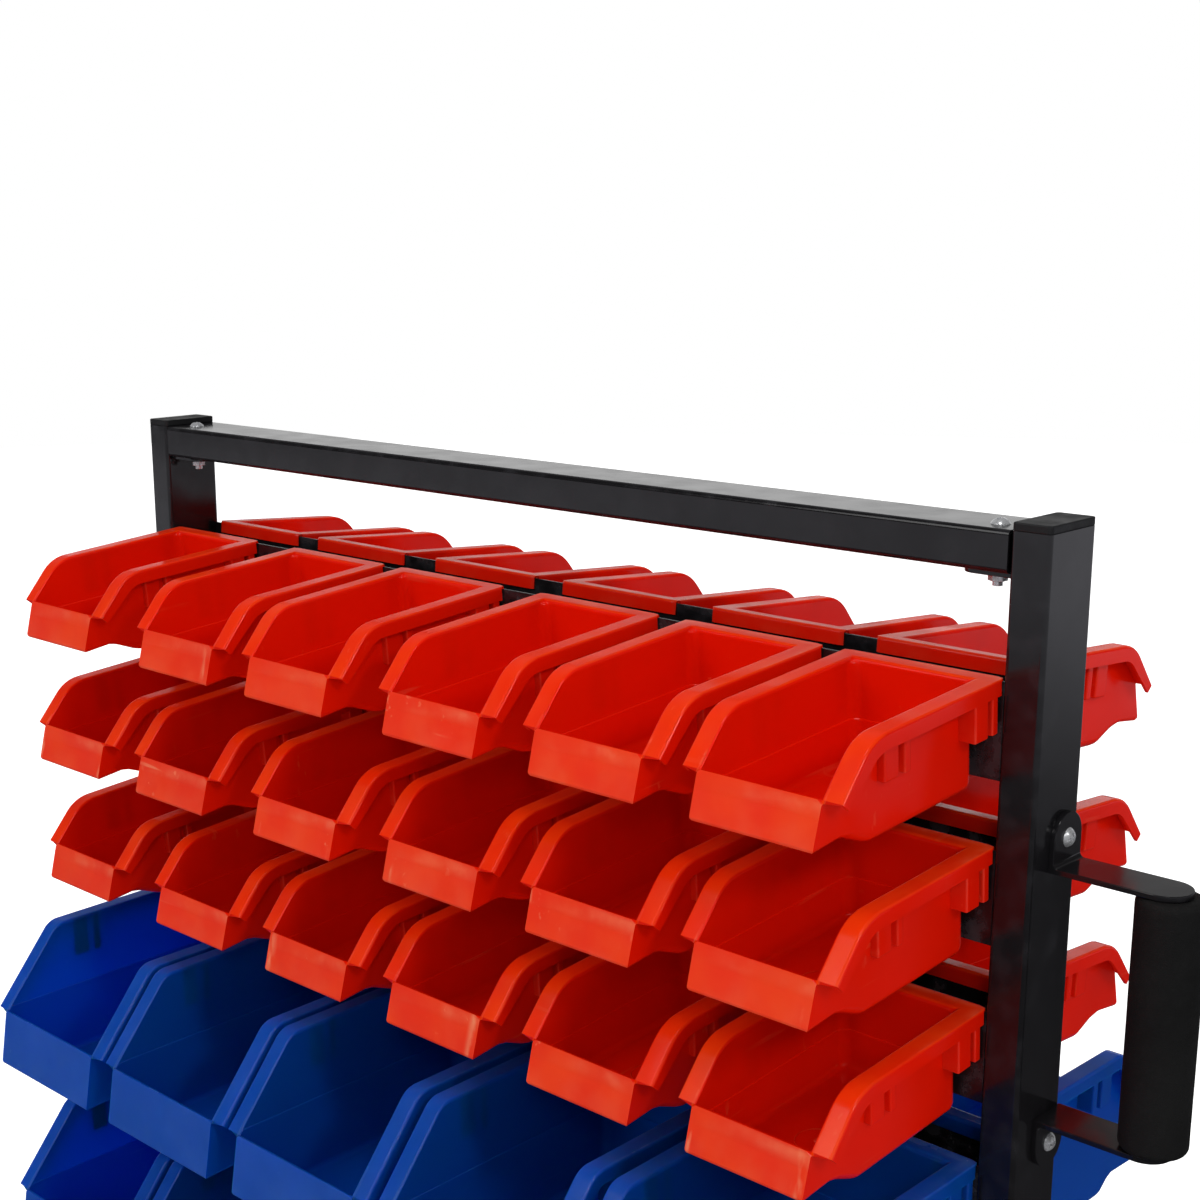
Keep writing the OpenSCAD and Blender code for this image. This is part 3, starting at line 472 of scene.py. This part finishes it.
def bin_ribs(b):
    """Lugs and ribs under the flange, and the two rests on the back."""
    flange, rim, _, _ = bin_lines(b)
    lean = math.tan(math.radians(b["droop"]))
    front_lug = rim[0][0] - LUG_BACK - LUG_W
    rear_out = (b["width"] - WALL) / 2
    front_out = min(b["body"] / 2 + b["lug"], rear_out)
    # start, width and outer face of each lug or rib
    strips = (
        (RAIL_HOOK + HOOK_GAP + (LUG_H - FLANGE_T) * lean, RIB_T, rear_out),
        (flange + BACK_R / 2, LUG_W, rear_out),
        (front_lug - RIB_SPACE - RIB_T, RIB_T, front_out),
        (front_lug, LUG_W, front_out),
    )
    rest = RAIL_HOOK + (REST_H - FLANGE_T) * lean
    mesh = bmesh.new()
    for s in (-1, 1):
        for start, width, out in strips:
            left, right = sorted((s * (b["body"] - WALL) / 2, s * out))
            add_prism(mesh, upright(start, start + width, -LUG_H, -FLANGE_T / 2), left, right)
        mid = s * (b["body"] / 2 - BACK_R)
        outline = upright(rest, flange + WALL / 2, -REST_H, -FLANGE_T / 2)
        add_prism(mesh, outline, mid - REST_W / 2, mid + REST_W / 2)
    bmesh.ops.recalc_face_normals(mesh, faces=mesh.faces)
    return mesh


def settled(mesh, name, *modifiers):
    """A mesh with modifiers worked into it. Each modifier is its kind and its settings."""
    data = bpy.data.meshes.new(name)
    mesh.to_mesh(data)
    mesh.free()
    data.shade_smooth()
    holder = bpy.data.objects.new(name, data)
    bpy.context.scene.collection.objects.link(holder)
    for kind, settings in modifiers:
        added = holder.modifiers.new(kind.lower(), kind)
        for key, value in settings.items():
            setattr(added, key, value)
    graph = bpy.context.evaluated_depsgraph_get()
    made = bpy.data.meshes.new_from_object(holder.evaluated_get(graph))
    bpy.data.objects.remove(holder)
    made.name = name
    return made


ROUND_FOLDS = {
    "width": MAX_FOLD * MM,
    "segments": 4,
    "limit_method": "WEIGHT",
    "use_clamp_overlap": False,
}
SMALL_EDGES = {
    "width": 0.5 * MM,
    "segments": 2,
    "limit_method": "ANGLE",
    "angle_limit": math.radians(50),
    "use_clamp_overlap": True,
}
LUG_EDGES = SMALL_EDGES | {"width": 1.3 * MM, "segments": 3}
# edges that turn more than this stay sharp in the shading
SHARP_TURN = math.radians(36)


def add_gate_mark(mesh, b):
    """The raised ring and nub that the mould's gate leaves on the floor."""
    forward, up = b["gate"] * MM, (WALL - b["depth"]) * MM
    ring_r, bead, steps, sides = 13 * MM, 0.35 * MM, 48, 6
    loops = []
    for i in range(steps):
        turn = 2 * math.pi * i / steps
        out = Vector((math.cos(turn), math.sin(turn), 0))
        loop = []
        for k in range(sides):
            roll = 2 * math.pi * k / sides
            spot = out * (ring_r + bead * math.cos(roll)) + Vector((0, -forward, up + bead * math.sin(roll)))
            loop.append(mesh.verts.new(spot))
        loops.append(loop)
    for a, c in zip(loops, loops[1:] + loops[:1]):
        for k in range(sides):
            n = (k + 1) % sides
            mesh.faces.new((a[k], c[k], c[n], a[n]))
    nub = Matrix.Translation((0, -forward, up))
    bmesh.ops.create_cone(
        mesh, cap_ends=True, segments=20, radius1=2.4 * MM, radius2=1.5 * MM, depth=1.6 * MM, matrix=nub
    )


def wall_out(spot, b):
    """The way out of the bin at a point of its inner sides, back or back corners, or None anywhere else."""
    radius = BACK_R - WALL
    across = abs(spot.x) / MM - (b["body"] / 2 - WALL - radius)
    behind = (b["width"] - b["body"]) / 2 + WALL + radius + spot.y / MM
    out = Vector((max(across, 0), max(behind, 0), 0))
    tolerance = 0.05
    if abs(out.length - radius) > tolerance:
        return None
    return Vector((math.copysign(out.x, spot.x), out.y, 0)).normalized()


def press_crease(mesh, b):
    """The wall above the crease stands back a little, so that a step runs along the inner sides and back."""
    for up in (-b["crease"], -b["crease"] - CREASE_STEP):
        everything = mesh.verts[:] + mesh.edges[:] + mesh.faces[:]
        bmesh.ops.bisect_plane(mesh, geom=everything, plane_co=(0, 0, up * MM), plane_no=(0, 0, 1))
    outs = {v: wall_out(v.co, b) for v in mesh.verts}
    tolerance = 0.01
    for edge in mesh.edges:
        heights = [v.co.z / MM + b["crease"] for v in edge.verts]
        level = all(-CREASE_STEP - tolerance < h < tolerance for h in heights)
        edge.smooth = not (level and all(outs[v] for v in edge.verts))
    for v, out in outs.items():
        if out and v.co.z > (-b["crease"] - CREASE_STEP / 2) * MM:
            v.co += out * CREASE_STEP * MM


def bin_mesh(b, name, finish):
    """The finished mesh of one kind of bin: walls, lugs, ribs, crease and gate mark."""
    skin = bin_skin(b).mesh
    bmesh.ops.recalc_face_normals(skin, faces=skin.faces)
    low = min(skin.faces, key=lambda f: f.calc_center_median().z)
    if low.normal.z < 0:
        bmesh.ops.reverse_faces(skin, faces=skin.faces)
    shell = {"thickness": WALL * MM, "offset": -1, "use_quality_normals": True}
    folded = (("BEVEL", ROUND_FOLDS), ("SOLIDIFY", shell), ("BEVEL", SMALL_EDGES))
    walls = settled(skin, name + "_walls", *folded)
    ribs = settled(bin_ribs(b), name + "_ribs", ("BEVEL", LUG_EDGES))
    joined = bmesh.new()
    joined.from_mesh(walls)
    press_crease(joined, b)
    joined.from_mesh(ribs)
    for edge in joined.edges:
        if edge.is_manifold and edge.calc_face_angle() > SHARP_TURN:
            edge.smooth = False
    add_gate_mark(joined, b)
    made = settled(joined, name, ("WEIGHTED_NORMAL", {"keep_sharp": True}))
    made.materials.clear()
    made.materials.append(finish)
    return made


def hang(node, mesh, b, places, travel, rim, front):
    """Bins of one CAD node on their rail, each riding on the node's own body."""
    tilt = Matrix.Rotation(math.radians(b["droop"]), 4, "X")
    turn = Matrix.Rotation(0 if front else math.pi, 4, "Z")
    for i, place in enumerate(places):
        piece = bpy.data.objects.new(f"{node}_moulding_{i + 1}", mesh)
        bpy.context.scene.collection.objects.link(piece)
        at_rail = Matrix.Translation(Vector((X_MID + place * travel, 0, rim - FLANGE_T)) * MM)
        out = Matrix.Translation(Vector((0, -RAIL_W / 2, 0)) * MM)
        hooked = Matrix.Translation(Vector((0, RAIL_HOOK, FLANGE_T)) * MM)
        piece.matrix_world = at_rail @ turn @ out @ tilt @ hooked
        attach(piece, node + "_lift")
        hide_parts(node)


def hang_all():
    """Hangs every row of bins. The front bins of the top row are nodes of their own."""
    small = bin_mesh(SMALL_BIN, "small_bin", RED)
    large = bin_mesh(LARGE_BIN, "large_bin", BLUE)
    rim = SMALL_RIMS[0]
    for i, place in enumerate(FRONT_SMALL[0]):
        node = f"front_red_bin_{i + 1}"
        hang(node, small, SMALL_BIN, [place], SMALL_TRAVEL, rim, True)
    for row in (1, 2, 3):
        rim = SMALL_RIMS[row - 1]
        if row > 1:
            places = FRONT_SMALL[row - 1]
            hang(f"front_red_row_{row}", small, SMALL_BIN, places, SMALL_TRAVEL, rim, True)
        hang(f"rear_red_row_{row}", small, SMALL_BIN, REAR_SMALL, SMALL_TRAVEL, rim, False)
        rim = LARGE_RIMS[row - 1]
        places = FRONT_LARGE[row - 1]
        hang(f"front_blue_row_{row}", large, LARGE_BIN, places, LARGE_TRAVEL, rim, True)
        hang(f"rear_blue_row_{row}", large, LARGE_BIN, REAR_LARGE, LARGE_TRAVEL, rim, False)


hang_all()


# Foam grip


def foam_grip():
    """A foam sleeve with rolled ends, turned about the grip axis and swollen a little unevenly."""
    low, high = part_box("handle_grip")
    radius = (high.x - low.x) / 2
    axis = Vector(((low.x + high.x) / 2, (low.y + high.y) / 2, 0))
    bore = 7.15 * MM
    roll = 4.5 * MM
    rings = 44
    steps = 72
    # how fast the swelling changes along the grip, per metre
    waves = 18
    ends = [(bore, low.z + roll)]
    ends += [(bore + roll - roll * math.cos(t), low.z + roll - roll * math.sin(t)) for t in (0.5, 1.0, 1.5)]
    ends += [
        (radius - roll + roll * math.sin(t), low.z + roll - roll * math.cos(t))
        for t in (0.1, 0.4, 0.7, 1.0, 1.3, 1.57)
    ]
    span = high.z - low.z - 2 * roll
    middle = [(radius, low.z + roll + span * i / rings) for i in range(1, rings)]
    flipped = [(r, low.z + high.z - z) for r, z in reversed(ends)]
    profile = ends + middle + flipped
    mesh = bmesh.new()
    loops = []
    for r, z in profile:
        loop = []
        for k in range(steps):
            turn = 2 * math.pi * k / steps
            out = Vector((math.cos(turn), math.sin(turn), 0))
            spot = Vector((out.x, out.y, z * waves))
            broad = 0.25 * MM * noise.noise(spot * 1.7)
            fine = 0.12 * MM * noise.noise(spot * 6)
            swell = broad + fine
            reach = r + (min(swell, 0) if r > bore * 1.2 else 0)
            loop.append(mesh.verts.new(axis + out * reach + Vector((0, 0, z))))
        loops.append(loop)
    for a, b in zip(loops, loops[1:] + loops[:1]):
        for k in range(steps):
            n = (k + 1) % steps
            mesh.faces.new((a[k], a[n], b[n], b[k]))
    bmesh.ops.recalc_face_normals(mesh, faces=mesh.faces)
    sleeve = settled(mesh, "foam_sleeve", ("SUBSURF", {"levels": 1, "render_levels": 1}))
    sleeve.materials.clear()
    sleeve.materials.append(FOAM)
    piece = bpy.data.objects.new("foam_sleeve", sleeve)
    bpy.context.scene.collection.objects.link(piece)
    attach(piece, "frame")
    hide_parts("handle_grip")


foam_grip()


# Weld beads


def bead(mesh, start, end, radius):
    """A rippled weld bead along a straight line, with tapered ends."""
    start, end = Vector(start) * MM, Vector(end) * MM
    along = (end - start).normalized()
    side = along.orthogonal().normalized()
    up = along.cross(side)
    ring_gap = 0.9 * MM
    ripple_l = 3.2 * MM
    sides = 10
    steps = max(8, int((end - start).length / ring_gap))
    loops = []
    for i in range(steps + 1):
        share = i / steps
        middle = start.lerp(end, share)
        ripple = 0.85 + 0.15 * abs(math.sin(math.pi * (middle - start).length / ripple_l))
        taper = min(1, 0.25 + 6 * min(share, 1 - share))
        size = radius * MM * ripple * taper * (1 + 0.12 * noise.noise(middle * 900))
        turns = [2 * math.pi * k / sides for k in range(sides)]
        loops.append([mesh.verts.new(middle + (side * math.cos(t) + up * math.sin(t)) * size) for t in turns])
    for a, c in zip(loops, loops[1:]):
        for k in range(sides):
            n = (k + 1) % sides
            mesh.faces.new((a[k], a[n], c[n], c[k]))
    mesh.faces.new(loops[0][::-1])
    mesh.faces.new(loops[-1])


WELD_R = 2.4
TAB_WELD_R = 1.8


def weld_beads():
    """Beads where the posts stand on the feet, the cross rail meets the posts and the tabs meet the posts."""
    mesh = bmesh.new()
    for side, post in ((1, "left_post"), (-1, "right_post")):
        low, high = (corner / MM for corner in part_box(post))
        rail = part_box("lower_cross_rail")[1] / MM
        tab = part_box("top_rail_tabs")[0] / MM
        face = high.x if side > 0 else low.x
        for y in (low.y, high.y):
            bead(mesh, (low.x + 2, y, low.z), (high.x - 2, y, low.z), WELD_R)
        bead(mesh, (face, low.y + 3, rail.z), (face, high.y - 3, rail.z), WELD_R)
        bead(mesh, (face, tab.y + 2, tab.z), (face, -tab.y - 2, tab.z), TAB_WELD_R)
    bmesh.ops.recalc_face_normals(mesh, faces=mesh.faces)
    data = settled(mesh, "weld_beads", ("SUBSURF", {"levels": 1, "render_levels": 1}))
    data.materials.clear()
    data.materials.append(BLACK)
    piece = bpy.data.objects.new("weld_beads", data)
    bpy.context.scene.collection.objects.link(piece)
    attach(piece, "frame")


weld_beads()


# Finishes of the CAD pieces


SHARP_EDGE = math.radians(40)
FLAT_EDGE = math.radians(0.5)


def finish_node(name, material, edge):
    """A CAD piece takes its material and gets small rounded edges."""
    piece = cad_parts[name]
    piece.data.materials.clear()
    piece.data.materials.append(material)
    steps = (
        ("WELD", {"merge_threshold": 0.01 * MM}),
        ("DECIMATE", {"decimate_type": "DISSOLVE", "angle_limit": FLAT_EDGE}),
        (
            "BEVEL",
            {
                "width": edge * MM,
                "segments": 2,
                "limit_method": "ANGLE",
                "angle_limit": SHARP_EDGE,
            },
        ),
        ("WEIGHTED_NORMAL", {"keep_sharp": True}),
    )
    for kind, settings in steps:
        added = piece.modifiers.new(kind.lower(), kind)
        for key, value in settings.items():
            setattr(added, key, value)


WHEELS = [f"{side}_{end}" for side in ("left", "right") for end in ("front", "rear")]
FINISHES = (
    (BLACK, 0.6, ["left_post", "right_post", "top_rail", "left_foot", "right_foot", "lower_cross_rail"]),
    (BLACK, 0.5, ["top_rail_tabs", "upper_handle_bracket", "lower_handle_bracket"]),
    (BLACK, 0.4, [f"bin_rail_{i}" for i in range(1, 7)]),
    (CAP, 1.6, ["tube_caps"]),
    (ZINC, 0.25, ["top_rail_bolts", "hex_nuts", "rail_screws", "handle_screws"]),
    (STEEL, 0.4, ["handle_rod"]),
    (CASTOR, 0.4, ["castor_stems"] + [w + "_fork" for w in WHEELS] + [w + "_axle" for w in WHEELS]),
    (HUB, 0.5, [w + "_hub" for w in WHEELS]),
    (RUBBER, 0.6, [w + "_tyre" for w in WHEELS]),
    (PEDAL, 0.5, ["left_brake_pedal", "right_brake_pedal"]),
)
for material, edge, names in FINISHES:
    for name in names:
        finish_node(name, material, edge)


# Floor, light and camera


FLOOR_R = 9
# the way to the bright side of the room, as seen from the rack
BACKDROP = (-0.7, 0.7, 0.14)


def lit_floor():
    """A pale floor that looks white to the camera, keeps the rack's shadow, and is dim in reflections
    near the rack and bright far away."""
    mesh = bmesh.new()
    bmesh.ops.create_circle(mesh, cap_ends=True, segments=96, radius=FLOOR_R)
    data = bpy.data.meshes.new("floor")
    mesh.to_mesh(data)
    mesh.free()
    floor = bpy.data.objects.new("floor", data)
    bpy.context.scene.collection.objects.link(floor)
    f = Finish("pale_floor", Specular_IOR_Level=0.1)
    f.shader.inputs["Emission Color"].default_value = (1, 1, 1, 1)
    path = f.node("LightPath").outputs
    f.put(f.math("MULTIPLY", path["Is Camera Ray"], 0.8), f.shader.inputs["Emission Strength"])
    pale = f.blend(f.blotches(3, 3), (0.78, 0.78, 0.78, 1), (0.82, 0.82, 0.82, 1))
    away = f.node("VectorMath", {0: f.place}, operation="LENGTH").outputs["Value"]
    dim = f.blend(f.fade(away, 2.2, 5.8), (0.06, 0.06, 0.066, 1), (0.9, 0.9, 0.98, 1))
    data.materials.append(f.done(f.blend(path["Is Glossy Ray"], pale, dim), 0.8))


def room():
    """A white room: its backdrop behind the rack is bright, and the side behind the camera is dim."""
    world = bpy.data.worlds.new("room")
    bpy.context.scene.world = world
    world.use_nodes = True
    n = Nodes(world.node_tree)
    path = n.node("LightPath").outputs
    place = n.node("TexCoord").outputs["Generated"]
    toward = n.node("VectorMath", {0: place, 1: BACKDROP}, operation="DOT_PRODUCT").outputs["Value"]
    height = n.node("SeparateXYZ", {0: place}).outputs[2]
    band = n.math("MULTIPLY", n.fade(height, 0.05, 0.12, 0.15, 1.0), n.fade(height, 0.12, 0.36, 1.0, 0.2))
    mirrored = n.math("MULTIPLY", n.fade(toward, 0.35, 0.9, 0.1, 1.0), band)
    fill = n.fade(toward, -0.2, 0.9, 0.5, 1.0)
    level = n.node("Mix", {0: path["Is Glossy Ray"], 2: fill, 3: mirrored}, data_type="FLOAT").outputs[0]
    seen = n.math("MAXIMUM", path["Is Camera Ray"], path["Is Transmission Ray"])
    back = n.tree.nodes["Background"].inputs
    n.put((1, 1, 1, 1), back["Color"])
    n.put(n.math("MAXIMUM", seen, level), back["Strength"])


def softbox(name, place, aim, size, power):
    """A square lamp of that size in metres and power in watts, turned to its aim."""
    lamp = bpy.data.lights.new(name, "AREA")
    lamp.size = size
    lamp.energy = power
    holder = bpy.data.objects.new(name, lamp)
    holder.location = place
    holder.rotation_euler = (Vector(aim) - Vector(place)).to_track_quat("-Z", "Y").to_euler()
    bpy.context.scene.collection.objects.link(holder)


def photo_camera():
    """The camera of the photograph, fitted to the posts, rail, screws and bin corners."""
    azimuth, elevation, roll = (math.radians(a) for a in (44.859, 13.970, -0.464))
    place = (0.91049, -0.95643, 1.17411)
    # focal length, picture centre and picture size, in pixels of the photograph
    focal, centre, image = 1898.0, (525.73, 684.36), 1200
    level = Vector((math.sin(azimuth), -math.cos(azimuth), 0))
    back = level * math.cos(elevation) + Vector((0, 0, math.sin(elevation)))
    right = Vector((math.cos(azimuth), math.sin(azimuth), 0))
    up = back.cross(right)
    across = right * math.cos(roll) + up * math.sin(roll)
    upward = up * math.cos(roll) - right * math.sin(roll)
    data = bpy.data.cameras.new("photo_camera")
    data.sensor_width = 36
    data.lens = focal / image * data.sensor_width
    data.shift_x = (image / 2 - centre[0]) / image
    data.shift_y = (centre[1] - image / 2) / image
    camera = bpy.data.objects.new("photo_camera", data)
    bpy.context.scene.collection.objects.link(camera)
    turn = Matrix((across, upward, back)).transposed().to_4x4()
    camera.matrix_world = Matrix.Translation(place) @ turn
    bpy.context.scene.camera = camera


lit_floor()
room()
softbox("key_softbox", (-0.8, -2.5, 2.5), (0, 0, 0.7), 1.8, 25)
softbox("side_softbox", (2.3, -0.6, 2.2), (0.2, 0, 0.75), 0.3, 11)
softbox("camera_softbox", (1.5, -1.55, 1.75), (0, 0, 0.75), 0.25, 4.4)
softbox("top_softbox", (0.6, -0.7, 2.7), (0, 0, 0.8), 0.5, 5)
photo_camera()
bpy.context.scene.view_settings.view_transform = "Standard"
